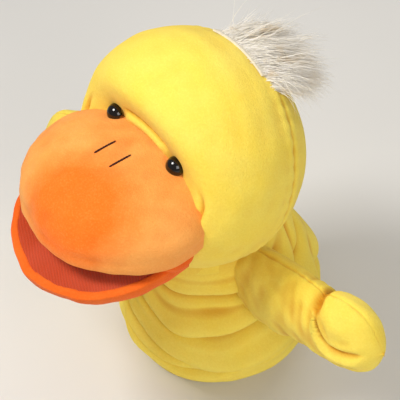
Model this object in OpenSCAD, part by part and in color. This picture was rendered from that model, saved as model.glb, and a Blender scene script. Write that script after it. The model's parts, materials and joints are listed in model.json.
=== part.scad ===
// Moving mouth duck puppet: a lined plush glove with a padded head, a beak worked by the
// fingers and thumb, and two padded wings. +Z is up, the duck faces -Y and its left is +X.
// The origin is the middle of the hand opening, in the plane of the hem.

/* [Head] */
// Width of the head
head_w = 176; // [150:1:200]
// Depth of the head, front to back
head_d = 152; // [130:1:180]
// Height of the head
head_h = 168; // [140:1:190]
// Height of the middle of the head above the hem
head_z = 216; // [205:1:235]
// How far the head sits forward of the hand opening
head_forward = 22; // [15:1:35]
// How far the beak seam pulls the face in
face_dent = 34; // [10:1:36]
// How far the face looks up at rest
head_tip = 20; // [12:1:24]
// How far the seam between the head panels lies behind the middle of the head
seam_back = 22; // [5:1:30]
// Diameter of the neck opening
neck_d = 74; // [66:1:80]
// How far the neck leans back from under the head
neck_lean = 12; // [8:1:16]

/* [Eyes] */
// Diameter of an eye
eye_d = 14; // [10:0.5:18]
// Distance between the eyes
eye_gap = 66; // [50:1:80]
// Height of the eyes above the middle of the head
eye_z = 15.5; // [12:0.5:20]

/* [Beak] */
// Width of the upper beak
beak_w = 144; // [130:1:150]
// Length of the upper beak from the mouth fold to its tip
beak_l = 67; // [60:1:75]
// Height of the upper beak above the mouth plate
beak_h = 44; // [40:1:52]
// Distance of the mouth fold in front of the middle of the head
fold_forward = 50; // [44:1:56]
// Distance of the mouth fold below the middle of the head
fold_drop = 33; // [26:1:40]
// Slope of the mouth down from straight ahead of the face
mouth_pitch = 20; // [12:1:24]
// How far the lower beak hangs open at rest
gape = 15; // [12:1:18]
// Length of the lower beak
jaw_l = 84; // [66:1:86]
// Width of the lower beak
jaw_w = 142; // [130:1:150]
// Depth of the lower beak below its mouth plate
jaw_h = 26; // [20:1:28]

/* [Body] */
// Diameter of the hem
hem_d = 112; // [100:1:124]
// Largest diameter of the body
body_d = 154; // [130:1:158]
// Thickness of the plush
plush = 3; // [2:0.5:4]

/* [Wings] */
// Length of a wing
wing_l = 112; // [100:1:140]
// Width of a wing
wing_w = 62; // [50:1:66]
// Thickness of a wing
wing_t = 38; // [26:1:40]
// Upward angle of the left wing at rest
left_lift = 10; // [-10:1:15]
// Upward angle of the right wing at rest
right_lift = -5; // [-10:1:15]
// Backward angle of the left wing at rest
left_sweep = 8; // [-15:1:20]
// Backward angle of the right wing at rest
right_sweep = -12; // [-15:1:20]

/* [Hidden] */
$fn = 64;
gap = 0.3;            // clearance between soft neighbours
lining_t = 1.5;       // thickness of the lining cloth
plate_t = 2;          // thickness of a mouth plate
lip_gap = 0.6;        // how far each half of the mouth lies from the line of the fold
deck = lining_t + plate_t + 2 * gap; // from the mouth's own plane to the stuffing behind it
yellow = "gold";
orange = "darkorange";
neck_axis = [0, -sin(neck_lean), cos(neck_lean)];
head_centre = [0, -head_forward, head_z];
ball = [head_w, head_d, head_h] / 2;

// ---------------------------------------------------------------- solids from rows of points
function flat(rows) = [for (row = rows) for (p = row) p];
function six_volumes(p, faces) = [for (f = faces) cross(p[f[0]], p[f[1]]) * p[f[2]]];
function total(v, i = 0, sum = 0) = i == len(v) ? sum : total(v, i + 1, sum + v[i]);

// A polyhedron whose triangles all face outwards, whichever way round they were listed
module closed_solid(points, faces) {
    inside_out = total(six_volumes(points, faces)) > 0;
    polyhedron(points, [for (f = faces) inside_out ? [f[2], f[1], f[0]] : f]);
}

// Triangles that join each of m rings of n points to the next
function walls(n, m) = [for (k = [0 : m - 2]) for (i = [0 : n - 1])
    let (a = k * n + i, b = k * n + (i + 1) % n)
    each [[a, b, b + n], [a, b + n, a + n]]];

// Rings of points joined in order, with the first and last capped
module loft(rings) {
    n = len(rings[0]);
    last = (len(rings) - 1) * n;
    caps = [for (i = [1 : n - 2]) each [[0, i + 1, i], [last, last + i, last + i + 1]]];
    closed_solid(flat(rings), concat(walls(n, len(rings)), caps));
}

// A sleeve of rings: out along one side of the cloth and back along the other
module tube(outer, inner) {
    n = len(outer[0]);
    rings = concat(outer, [for (k = [len(inner) - 1 : -1 : 0]) inner[k]]);
    last = (len(rings) - 1) * n;
    closing = [for (i = [0 : n - 1]) let (j = (i + 1) % n)
        each [[last + i, last + j, j], [last + i, j, i]]];
    closed_solid(flat(rings), concat(walls(n, len(rings)), closing));
}

// A piece of cloth between two grids of points of the same size
module slab(outer, inner) {
    rings = [for (k = [0 : len(outer) - 1])
        concat(outer[k], [for (i = [len(inner[k]) - 1 : -1 : 0]) inner[k][i]])];
    n = len(rings[0]);
    e = (len(rings) - 1) * n;
    caps = [for (i = [0 : n / 2 - 2]) let (j = n - 1 - i)
        each [[i, j - 1, i + 1], [i, j, j - 1],
            [e + i, e + i + 1, e + j - 1], [e + i, e + j - 1, e + j]]];
    closed_solid(flat(rings), concat(walls(n, len(rings)), caps));
}

// ---------------------------------------------------------------- places
module in_head() { translate(head_centre) rotate([-head_tip, 0, 0]) children(); }
module at_fold(turn) {
    in_head() translate([0, -fold_forward, -fold_drop]) rotate([turn, 0, 0]) children();
}
module in_mouth() { at_fold(mouth_pitch) translate([0, 0, lip_gap]) children(); }
module in_jaw() { at_fold(mouth_pitch + gape) translate([0, 0, -lip_gap]) children(); }
module in_wing(side) {
    lift = side > 0 ? left_lift : right_lift;
    sweep = side > 0 ? left_sweep : right_sweep;
    translate([side * shoulder_x, shoulder_y, shoulder_z]) mirror([side > 0 ? 0 : 1, 0, 0])
        rotate([0, -lift, 0]) rotate([0, 0, sweep]) children();
}

// ---------------------------------------------------------------- body
neck_reach = head_w / 2 + 1; // inside of the neck pieces from the head's middle
neck_open = asin(neck_d / head_h) + 7; // half angle of the top of the sleeve
body_top = head_centre - (neck_reach + 6) * cos(neck_open) * neck_axis;
shoulder_x = 66;
shoulder_y = -6;
shoulder_z = 122;
body_rows = 12;
body_sides = 48;
belly = 10;           // how far the middle of the sleeve hangs back
top_r = (neck_reach + 6) * sin(neck_open);
lining_top = 0.95;    // share of the sleeve's height that its lining reaches
hem_h = 12;           // height of the folded hem
hem_t = 2.5;          // thickness of the folded hem

// Radius of the sleeve at t, from 0 at the hem to 1 at the neck
function body_r(t) = t < 0.4
    ? hem_d / 2 + (body_d - hem_d) / 2 * sin(90 * t / 0.4)
    : top_r + (body_d / 2 - top_r) * (0.5 + 0.5 * cos(180 * (t - 0.4) / 0.6));
function body_point(t, angle, inset) =
    let (r = body_r(t) - inset, tilt = neck_lean * t, c = body_top * t + [0, belly * sin(180 * t), 0])
    c + [r * cos(angle), r * sin(angle) * cos(tilt), r * sin(angle) * sin(tilt)];
function body_grid(inset, from) = [for (k = [0 : body_rows])
    [for (i = [0 : body_sides / 2]) body_point(k / body_rows, from + 360 * i / body_sides, inset)]];
function lining_rings(inset) = [for (k = [0 : body_rows])
    [for (i = [0 : body_sides - 1])
        body_point(lining_top * k / body_rows, 360 * i / body_sides, inset)]];

module body_front_panel() { color(yellow) slab(body_grid(0, 180), body_grid(plush, 180)); }
module body_back_panel() { color(yellow) slab(body_grid(0, 0), body_grid(plush, 0)); }
module body_lining() {
    color("khaki") difference() {
        tube(lining_rings(plush + gap), lining_rings(plush + gap + lining_t));
        translate([0, 0, -1]) cylinder(h = hem_h + 1 + gap, r = hem_d);
    }
}
// The folded hem inside the bottom of the sleeve
module hem_band() {
    color(yellow) rotate_extrude()
        translate([hem_d / 2 - plush - gap - hem_t, 0]) square([hem_t, hem_h]);
}

// ---------------------------------------------------------------- neck
module at_neck() { translate(head_centre) rotate([180 + neck_lean, 0, 0]) children(); }
module neck_ring(reach, from, to) {
    at_neck() rotate_extrude()
        difference() {
            polygon(concat([[0, 0]], [for (a = [from : 2 : to]) 2 * reach * [sin(a), cos(a)]]));
            circle(r = reach, $fn = 128);
            difference() { circle(r = 4 * reach); circle(r = reach + lining_t, $fn = 128); }
        }
}
module neck_lining() { color("khaki") neck_ring(neck_reach, neck_open - 4, neck_open + 7); }
module neck_gusset() { color(yellow) neck_ring(neck_reach + 2.5, neck_open - 4, neck_open + 8); }

// ---------------------------------------------------------------- head
dent_w = 66;          // half width of the hollow that the beak seam makes in the face
dent_h = 40;          // half height of that hollow
// How far the beak seam pulls the face in at a point across and up from its middle
function dimple(x, z) = face_dent * exp(-pow(pow(x / dent_w, 2) + pow((z + 1) / dent_h, 2), 2));
// Point of the head at an angle from the front, and a turn round its front-to-back line
function head_point(inset, angle, turn) =
    let (x = (ball[0] - inset) * sin(angle) * cos(turn), z = (ball[2] - inset) * sin(angle) * sin(turn))
    [x, -(ball[1] - inset) * cos(angle) + max(0, cos(angle)) * dimple(x, z), z];
head_sides = 40;
front_steps = 16;
back_steps = 8;
function head_rings(inset, from, to, steps) = [for (k = [0 : steps])
    [for (i = [0 : head_sides - 1])
        head_point(inset, from + (to - from) * k / steps, 360 * i / head_sides)]];
seam_angle = 90 + asin(seam_back / (head_d / 2));
module head_dome(from, to, steps) {
    outer = head_rings(0, from, to, steps);
    inner = head_rings(plush, from, to, steps);
    loft(concat(outer, [for (k = [steps : -1 : 0]) inner[k]]));
}
module head_ball(inset) {
    back = head_rings(inset, seam_angle, 176, back_steps);
    loft(concat(head_rings(inset, 4, seam_angle, front_steps), [for (k = [1 : back_steps]) back[k]]));
}
module neck_hole(d, h = head_h) { rotate([180 + neck_lean + head_tip, 0, 0]) cylinder(h = h, d = d); }
// The hole through the face for the hand, of a width and between two heights
module mouth_way(w, low, high) {
    translate([-w / 2, -head_d / 2 - 4, low]) cube([w, 60, high - low]);
}
module mouth_hole() { mouth_way(92, -63, -4); }
module head_front_panel() {
    color(yellow) in_head() difference() {
        head_dome(4, seam_angle, front_steps);
        neck_hole(neck_d);
        mouth_hole();
        mouth_way(thumb[0] + 6, -69, -50);
    }
}
module head_back_panel() {
    color(yellow) in_head() difference() {
        head_dome(176, seam_angle, back_steps);
        neck_hole(neck_d);
    }
}
module head_stuffing() {
    color("white") in_head() difference() {
        head_ball(plush + gap);
        neck_hole(neck_d);
        sphere(d = neck_d);
        mouth_hole();
    }
}
module head_lining() {
    d = neck_d - 2 * gap;
    color("khaki") in_head() difference() {
        union() { neck_hole(d, 72); sphere(d = d); }
        neck_hole(d - 2 * lining_t, 73);
        sphere(d = d - 2 * lining_t);
        mouth_way(d - 12, -51, -7);
    }
}

// ---------------------------------------------------------------- tuft
tuft_w = 50;          // width of the tuft along the seam
tuft_h = 14;          // height of the tuft
tuft_side = 6;        // how far the tuft lies towards the duck's left
tuft_lean = [20, 30]; // how far the top of the tuft leans to the left and back
function backing_grid(inset) = [for (angle = [99 : 3 : 114])
    [for (turn = [68 : 4 : 104]) head_point(inset, angle, turn)]];
module fur_backing() { color("ivory") in_head() slab(backing_grid(-lining_t - 0.1), backing_grid(-0.1)); }
module fur_tuft() {
    color("ivory") in_head() translate([tuft_side, seam_back, head_h / 2]) rotate([-18, 4, 0])
        loft([for (k = [0 : 8]) let (t = k / 8, r = tuft_w / 2 * sqrt(1 - 0.95 * t * t))
            [for (i = [0 : 23]) [r * cos(15 * i) + tuft_lean[0] * t * t,
                0.6 * r * sin(15 * i) + tuft_lean[1] * t * t, 2 + tuft_h * t]]]);
}

// ---------------------------------------------------------------- eyes
eye_y = (ball[1] - dimple(eye_gap / 2, eye_z))
    * sqrt(1 - pow(eye_gap / head_w, 2) - pow(eye_z / ball[2], 2));
eye_up = 0.4;         // how far the middle of the ball of an eye lies above the plush
module at_eye(side) {
    in_head() translate([side * eye_gap / 2, -eye_y, eye_z])
        rotate([90 - asin(eye_z / ball[2]) * 0.8, 0, side * asin(eye_gap / head_w) * 0.9]) children();
}
module eye(side) {
    color("black") at_eye(side) {
        intersection() {
            translate([0, 0, eye_up]) sphere(d = eye_d);
            translate([0, 0, 0.6]) cylinder(h = eye_d, d = eye_d);
        }
        translate([0, 0, -12]) cylinder(h = 13, d = 4);
    }
}
module eye_room() {
    for (side = [-1, 1]) at_eye(side) translate([0, 0, eye_up]) sphere(d = eye_d + 4 * gap);
}
module eye_washer(side) {
    color("gainsboro") at_eye(side) translate([0, 0, -10]) difference() {
        cylinder(h = 1.6, d = 15);
        translate([0, 0, -1]) cylinder(h = 4, d = 4);
    }
}

// ---------------------------------------------------------------- beak
beak_full = 0.75;     // below 1, the domes of the beak are fuller than an ellipsoid
beak_back = 2;        // how far the widest part of the beak lies in front of the mouth fold
// Ring of a beak at an angle from its mouth plate; sign is 1 for the upper and -1 for the lower
function beak_ring(size, angle, n = 40) =
    let (reach = pow(cos(angle), beak_full), rise = pow(sin(angle), beak_full))
    [for (i = [0 : n - 1]) let (turn = 360 * i / n)
        [size[0] * reach * cos(turn), -beak_back - size[1] * reach * sin(turn), size[2] * rise]];
module beak_dome(size, inset) {
    inner = [size[0] - inset, size[1] - inset, size[2] - sign(size[2]) * inset];
    loft(concat([for (k = [8 : -1 : 0]) beak_ring(size, k * 11)],
        [for (k = [0 : 8]) beak_ring(inner, k * 11)]));
}
module beak_solid(size, base) {
    low = asin(pow(base / size[2], 1 / beak_full));
    loft([for (k = [0 : 8]) beak_ring(size, low + (88 - low) * k / 8)]);
}
pocket = [78, 20, 44];
pocket_back = 8;      // how far the finger pocket reaches behind the mouth fold
thumb = [34, 14, 44];
upper = [beak_w / 2, beak_l - beak_back, beak_h];
lower = [jaw_w / 2, jaw_l - beak_back, -jaw_h];
module upper_beak_plush() {
    color(orange) difference() {
        in_mouth() beak_dome(upper, plush);
        in_head() head_ball(-gap);
    }
}
module upper_beak_foam() {
    color("white") difference() {
        in_mouth() beak_solid(upper - (plush + gap) * [1, 1, 1], deck);
        in_head() head_ball(-gap);
        eye_room();
        in_mouth() stadium(pocket + [2, 2, 2] * gap, pocket_back + gap, deck - gap);
    }
}
// A flat D that is wide at the mouth fold and round at the front
module plate(size, thick) {
    linear_extrude(height = thick) difference() {
        translate([0, -beak_back]) scale([size[0], size[1]]) circle(r = 1, $fn = 96);
        translate([-100, 0]) square([200, 200]);
    }
}
module upper_mouth_plate() {
    color("saddlebrown") in_mouth() translate([0, 0, lining_t + gap / 2])
        plate([upper[0] - 5, upper[1] - 5], plate_t);
}
module palate_lining() { color("tomato") in_mouth() plate([upper[0] - 4, upper[1] - 4], lining_t); }
// A flat-sided round-ended tunnel lying along the mouth plate
module stadium(size, back, base) {
    translate([0, back, size[1] / 2 + base]) rotate([90, 0, 0]) linear_extrude(height = size[2]) {
        square([size[0] - size[1], size[1]], center = true);
        for (s = [-1, 1]) translate([s * (size[0] - size[1]) / 2, 0]) circle(d = size[1]);
    }
}
module finger_pocket() {
    color("tomato") in_mouth() difference() {
        stadium(pocket, pocket_back, deck);
        stadium(pocket - [2, 2, 0] * lining_t, pocket_back + lining_t, deck + lining_t);
    }
}
module nostril_stitches() {
    color("maroon") for (s = [-1, 1]) in_mouth() translate([s * 8.5, -5, beak_h - 0.2])
        rotate([90, 0, 0]) cylinder(h = 17, d = 1.2, center = true, $fn = 16);
}

// ---------------------------------------------------------------- lower beak
module lower_beak_plush() {
    color(orange) difference() {
        in_jaw() beak_dome(lower, plush);
        jaw_sweep();
    }
}
// What the lower beak must stay out of as it swings: the ball of the head, and all that is
// behind the mouth fold
module jaw_sweep() {
    for (open = [0, 13, 26]) at_fold(mouth_pitch) rotate([-open, 0, 0]) rotate([-mouth_pitch, 0, 0])
        translate([0, fold_forward, fold_drop]) head_ball(-1.2);
    at_fold(mouth_pitch + gape) translate([-jaw_w, 0, -jaw_w]) cube(2 * jaw_w);
}
module lower_beak_foam() {
    color("white") difference() {
        in_jaw() beak_solid(lower - (plush + gap) * [1, 1, -1], -deck);
        jaw_sweep();
        in_jaw() mirror([0, 0, 1]) stadium(thumb + [2, 2, 2] * gap, gap, deck - gap);
    }
}
module lower_mouth_plate() {
    color("saddlebrown") difference() {
        in_jaw() mirror([0, 0, 1]) translate([0, 0, lining_t + gap / 2])
            plate([lower[0] - 5, lower[1] - 5], plate_t);
        jaw_sweep();
    }
}
module mouth_floor_lining() {
    color("tomato") difference() {
        in_jaw() mirror([0, 0, 1]) plate([lower[0] - 4, lower[1] - 4], lining_t);
        jaw_sweep();
    }
}
module thumb_pocket() {
    color("tomato") in_jaw() mirror([0, 0, 1]) difference() {
        stadium(thumb, 0, deck);
        stadium(thumb - [2, 2, 0] * lining_t, lining_t, deck + lining_t);
    }
}

// ---------------------------------------------------------------- wings
wing_start = -7.9;    // where the wing begins, out from its shoulder line
wing_root = 9;        // radius of the ball that the wing grows from at its shoulder line
wing_full = 26;       // how far out the wing reaches its full width
wing_rows = 14;
wing_skin = 2;
// Share of the wing's full width and thickness at a distance out from its shoulder line
function wing_half(out) =
    out < 0 ? sqrt(wing_root * wing_root - out * out) / (wing_w / 2)
    : out < wing_full
    ? wing_root * 2 / wing_w + (1 - wing_root * 2 / wing_w) * (1 - cos(180 * out / wing_full)) / 2
    : let (t = (out - 6) / (wing_l - 6))
        (0.88 + 0.12 * cos(360 * (t - 0.2) / 0.6)) * sqrt(1 - pow(max(0, (t - 0.72) / 0.28), 2) * 0.97);
function wing_point(t, angle, inset) =
    let (out = wing_start + (wing_l - wing_start - inset) * t)
    [out, (wing_t / 2 * wing_half(out) - inset) * sin(angle),
        (wing_w / 2 * wing_half(out) - inset) * cos(angle)];
function wing_grid(inset, from) = [for (k = [0 : wing_rows])
    [for (i = [0 : 12]) wing_point(k / wing_rows, from + 15 * i, inset)]];
function wing_rings(inset) = [for (k = [0 : wing_rows])
    [for (i = [0 : 23]) wing_point(0.03 + 0.92 * k / wing_rows, 15 * i, inset)]];
module wing_panel(side, from) {
    color(yellow) in_wing(side) slab(wing_grid(0, from), wing_grid(wing_skin, from));
}
module wing_stuffing(side) { color("white") in_wing(side) loft(wing_rings(wing_skin + 2 * gap)); }

body_front_panel();
body_back_panel();
body_lining();
hem_band();
neck_gusset();
neck_lining();
head_front_panel();
head_back_panel();
head_stuffing();
head_lining();
fur_tuft();
fur_backing();
eye(1);  // eye_left
eye(-1);  // eye_right
eye_washer(1);  // eye_washer_left
eye_washer(-1);  // eye_washer_right
upper_beak_plush();
upper_beak_foam();
upper_mouth_plate();
palate_lining();
finger_pocket();
nostril_stitches();
lower_beak_plush();
lower_beak_foam();
lower_mouth_plate();
mouth_floor_lining();
thumb_pocket();
wing_panel(1, 180);  // wing_left_front_panel
wing_panel(1, 0);  // wing_left_back_panel
wing_stuffing(1);  // wing_left_stuffing
wing_panel(-1, 180);  // wing_right_front_panel
wing_panel(-1, 0);  // wing_right_back_panel
wing_stuffing(-1);  // wing_right_stuffing
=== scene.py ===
"""A plush duck glove puppet with a moving mouth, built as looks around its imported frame."""
import json
import math

import bmesh
import bpy
import numpy as np
from mathutils import Matrix, Vector


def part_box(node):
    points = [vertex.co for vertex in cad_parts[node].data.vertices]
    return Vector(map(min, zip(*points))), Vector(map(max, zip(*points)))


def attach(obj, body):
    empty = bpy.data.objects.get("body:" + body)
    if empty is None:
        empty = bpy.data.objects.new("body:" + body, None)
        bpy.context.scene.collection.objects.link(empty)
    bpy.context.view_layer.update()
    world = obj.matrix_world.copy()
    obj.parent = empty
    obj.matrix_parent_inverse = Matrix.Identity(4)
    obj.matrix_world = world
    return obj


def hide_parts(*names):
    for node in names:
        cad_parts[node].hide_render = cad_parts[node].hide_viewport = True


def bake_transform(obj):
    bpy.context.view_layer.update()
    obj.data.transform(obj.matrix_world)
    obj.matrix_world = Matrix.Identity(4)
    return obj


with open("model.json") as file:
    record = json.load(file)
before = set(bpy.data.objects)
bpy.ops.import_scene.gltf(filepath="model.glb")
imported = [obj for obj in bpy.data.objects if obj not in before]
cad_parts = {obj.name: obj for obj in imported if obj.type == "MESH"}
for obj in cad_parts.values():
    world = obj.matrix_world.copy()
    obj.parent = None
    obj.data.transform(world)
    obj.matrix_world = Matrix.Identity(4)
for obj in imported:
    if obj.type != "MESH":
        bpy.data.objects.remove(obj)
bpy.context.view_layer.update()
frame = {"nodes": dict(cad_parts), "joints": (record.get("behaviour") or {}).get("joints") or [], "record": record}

bl_info = {
    "name": "Plush duck puppet",
    "version": (1, 0, 0),
    "blender": (4, 5, 0),
    "location": "View3D > Sidebar > Puppet",
    "description": "Builds the plush, fur, beak, wings and stage of a glove puppet",
    "category": "Object",
}

JOINTS = {j["name"]: j for j in frame["joints"]}
HEAD = Vector(JOINTS["head_nod"]["pos_m"])        # middle of the head
FOLD = Vector(JOINTS["jaw_open"]["pos_m"])        # middle of the mouth fold
NECK = Vector(JOINTS["head_turn"]["axis"])        # line of the neck
NOSE = FOLD + Vector((0.014, -0.047, 0.031))      # middle of the deep orange patch on the beak's front; the paler orange and peach round it are painted sheen
SHOULDER = {side: Vector(JOINTS[f"wing_{side}_flap"]["pos_m"]) for side in ("left", "right")}
BEAK_BACK = 0.002                   # the beaks' widest line, ahead of the fold
BEAK_LIFT = 0.0016                  # the upper dome, above the plane of the mouth
DOME = 0.75                         # power of a beak's curve: 1 is an ellipsoid
WING_ROOT = -0.036                  # a wing's inner end, inside the sleeve
TINY = 1e-9                         # keeps a division away from 0
CREASE_SHADE_DEPTH = 0.0021               # hollow that takes the whole painted crease shade
BROAD_PASSES, FINE_PASSES = 90, 34  # smoothing that finds broad or fine hollows for the painted crease shade


# ---- sizes and colours
class PuppetSizes(bpy.types.PropertyGroup):
    """Sizes of the plush pieces"""
    face_up: bpy.props.FloatProperty(
        name="Face up", description="How far the face looks up at rest",
        default=math.radians(20), subtype="ANGLE")
    head_w: bpy.props.FloatProperty(
        name="Head width", description="Width of the head", default=0.176, unit="LENGTH")
    head_d: bpy.props.FloatProperty(
        name="Head depth", description="Depth of the head", default=0.152, unit="LENGTH")
    head_h: bpy.props.FloatProperty(
        name="Head height", description="Height of the head", default=0.168, unit="LENGTH")
    seam_back: bpy.props.FloatProperty(
        name="Seam back", description="How far the head's seam lies behind its middle",
        default=0.022, unit="LENGTH")
    beak_w: bpy.props.FloatProperty(
        name="Beak width", description="Width of the upper beak", default=0.145, unit="LENGTH")
    beak_l: bpy.props.FloatProperty(
        name="Beak length", description="Length of the upper beak from the mouth fold",
        default=0.067, unit="LENGTH")
    beak_h: bpy.props.FloatProperty(
        name="Beak height", description="Height of the upper beak above the mouth",
        default=0.0445, unit="LENGTH")
    jaw_w: bpy.props.FloatProperty(
        name="Lower beak width", description="Width of the lower beak", default=0.143,
        unit="LENGTH")
    jaw_l: bpy.props.FloatProperty(
        name="Lower beak length", description="Length of the lower beak from the mouth fold",
        default=0.084, unit="LENGTH")
    jaw_h: bpy.props.FloatProperty(
        name="Lower beak depth", description="Depth of the lower beak below the mouth",
        default=0.026, unit="LENGTH")
    gape: bpy.props.FloatProperty(
        name="Gape", description="How far the lower beak hangs open at rest",
        default=math.radians(15), subtype="ANGLE")
    hem_d: bpy.props.FloatProperty(
        name="Hem", description="Diameter of the hem", default=0.112, unit="LENGTH")
    body_d: bpy.props.FloatProperty(
        name="Body", description="Largest diameter of the body", default=0.154, unit="LENGTH")
    cloth: bpy.props.FloatProperty(
        name="Plush thickness", description="Thickness of the plush cloth",
        default=0.003, unit="LENGTH")
    wing_l: bpy.props.FloatProperty(
        name="Wing length", description="Length of a wing from its shoulder line",
        default=0.113, unit="LENGTH")
    wing_w: bpy.props.FloatProperty(
        name="Wing width", description="Width of a wing", default=0.064, unit="LENGTH")
    wing_t: bpy.props.FloatProperty(
        name="Wing thickness", description="Thickness of a wing", default=0.041, unit="LENGTH")
    strands: bpy.props.IntProperty(
        name="Fur strands", description="Number of strands in the tuft", default=7400)


class PuppetColours(bpy.types.PropertyGroup):
    """Colours of the plush, fur and thread"""
    yellow: bpy.props.FloatVectorProperty(
        name="Yellow", description="Yellow plush", subtype="COLOR", size=4,
        default=(0.92, 0.66, 0.060, 1))
    yellow_pale: bpy.props.FloatVectorProperty(
        name="Pale yellow", description="Yellow plush where its pile is brushed up",
        subtype="COLOR", size=4, default=(0.95, 0.77, 0.150, 1))
    orange: bpy.props.FloatVectorProperty(
        name="Orange", description="Orange plush", subtype="COLOR", size=4,
        default=(0.86, 0.11, 0.003, 1))
    # the upper beak's orange, paled by painted sheen, away from its front
    orange_pale: bpy.props.FloatVectorProperty(
        name="Pale orange", description="Orange plush where its pile is brushed up",
        subtype="COLOR", size=4, default=(0.94, 0.30, 0.050, 1))
    coral: bpy.props.FloatVectorProperty(
        name="Coral", description="Lower beak's plush where its pile is brushed up",
        subtype="COLOR", size=4, default=(0.90, 0.19, 0.020, 1))
    # the upper beak's orange, paled further by painted sheen, away from its front
    peach: bpy.props.FloatVectorProperty(
        name="Peach", description="Palest orange plush, on the top of the beak", subtype="COLOR",
        size=4, default=(0.96, 0.45, 0.115, 1))
    nose: bpy.props.FloatVectorProperty(
        name="Nose", description="Strongest orange, on the front of the beak", subtype="COLOR",
        size=4, default=(1.0, 0.15, 0.000, 1))
    mouth: bpy.props.FloatVectorProperty(
        name="Mouth", description="Ribbed cloth inside the mouth", subtype="COLOR", size=4,
        default=(0.62, 0.055, 0.002, 1))
    fur: bpy.props.FloatVectorProperty(
        name="Fur", description="Long pile of the tuft", subtype="COLOR", size=4,
        default=(0.98, 0.93, 0.84, 1))
    thread: bpy.props.FloatVectorProperty(
        name="Thread", description="Dark embroidery thread", subtype="COLOR", size=4,
        default=(0.05, 0.012, 0.008, 1))


def sizes():
    """The sizes set in the scene"""
    return bpy.context.scene.puppet_sizes


def colours():
    """The colours set in the scene"""
    return bpy.context.scene.puppet_colours


# ---- places
def head_space():
    """The head's own frame: its middle, with the face along -Y"""
    return Matrix.Translation(HEAD) @ Matrix.Rotation(-sizes().face_up, 4, "X")


def mouth_space():
    """The mouth fold, with the upper beak's mouth plane level"""
    return Matrix.Translation(FOLD)


def jaw_space():
    """The mouth fold, turned down with the lower beak"""
    return Matrix.Translation(FOLD) @ Matrix.Rotation(sizes().gape, 4, "X")


def wing_space(side):
    """A shoulder, with +X out along the wing"""
    lift, sweep = {"left": (10, 8), "right": (-5, -12)}[side]      # degrees, up and back
    place = Matrix.Translation(SHOULDER[side])
    if side == "right":
        place = place @ Matrix.Scale(-1, 4, (1, 0, 0))
    return (place @ Matrix.Rotation(math.radians(-lift), 4, "Y")
            @ Matrix.Rotation(math.radians(sweep), 4, "Z"))


# ---- making pieces
def bump_between(value, middle, width):
    """A soft ridge, 1 at the middle and falling away over the width"""
    return np.exp(-((value - middle) / width) ** 2)


def rise(value, low, high):
    """0 below low, 1 above high and smooth between"""
    t = np.clip((value - low) / (high - low), 0, 1)
    return t * t * (3 - 2 * t)


def unit(vectors):
    """The same directions, each one long"""
    return vectors / np.maximum(np.linalg.norm(vectors, axis=1), TINY)[:, None]


def lumps(points, size, seed):
    """Soft unevenness of about that size, mostly from -1 to 1, as a sum of random waves"""
    waves = 7
    rng = np.random.default_rng(seed)
    total = np.zeros(len(points))
    for _ in range(waves):
        way = rng.normal(size=3)
        way /= np.linalg.norm(way)
        total += np.sin(points @ way * (2 * math.pi / size * rng.uniform(0.7, 1.4))
                        + rng.uniform(0, 6.3))
    return total / math.sqrt(waves) / 1.5


def coordinates(mesh):
    """The mesh's points, a row each"""
    points = np.zeros(len(mesh.vertices) * 3)
    mesh.vertices.foreach_get("co", points)
    return points.reshape(-1, 3)


def move_points(mesh, points):
    """Sets the mesh's points from rows"""
    mesh.vertices.foreach_set("co", np.ascontiguousarray(points, float).ravel())
    mesh.update()


def mesh_from(name, bm):
    """A new mesh that takes over the bmesh"""
    mesh = bpy.data.meshes.new(name)
    bm.to_mesh(mesh)
    bm.free()
    return mesh


def column(around, up, top=1.0, closed=False):
    """An upright column of height 1 on a unit circle, cut into rings"""
    bm = bmesh.new()
    bmesh.ops.create_cone(bm, cap_ends=closed, segments=around, radius1=1, radius2=top, depth=1,
                          matrix=Matrix.Translation((0, 0, 0.5)))
    upright = [e for e in bm.edges if abs(e.verts[0].co.z - e.verts[1].co.z) > 0.5]
    bmesh.ops.subdivide_edges(bm, edges=upright, cuts=up - 1)
    return bm


def ball_mesh(name, subdivisions, shape, place=None):
    """A ball whose unit directions are moved by shape(), then set in its place"""
    bm = bmesh.new()
    bmesh.ops.create_icosphere(bm, subdivisions=subdivisions, radius=1)
    mesh = mesh_from(name, bm)
    move_points(mesh, shape(coordinates(mesh)))
    if place is not None:
        mesh.transform(place)
        if place.determinant() < 0:
            mesh.flip_normals()
    return mesh


def tube_mesh(name, around, up, shape):
    """An open tube whose points are set from their turn and share of the height"""
    mesh = mesh_from(name, column(around, up))
    points = coordinates(mesh)
    move_points(mesh, shape(np.arctan2(points[:, 1], points[:, 0]), points[:, 2]))
    return mesh


def cut_mesh(mesh, point, normal):
    """Cuts away the side of the mesh that the normal points to, and closes the cut"""
    bm = bmesh.new()
    bm.from_mesh(mesh)
    cut = bmesh.ops.bisect_plane(bm, geom=bm.verts[:] + bm.edges[:] + bm.faces[:],
                                 plane_co=point, plane_no=normal, clear_outer=True)
    edges = [e for e in cut["geom_cut"] if isinstance(e, bmesh.types.BMEdge)]
    bmesh.ops.holes_fill(bm, edges=edges)
    bmesh.ops.triangulate(bm, faces=[f for f in bm.faces if len(f.verts) > 4])
    bmesh.ops.recalc_face_normals(bm, faces=bm.faces)
    bm.to_mesh(mesh)
    bm.free()


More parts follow.
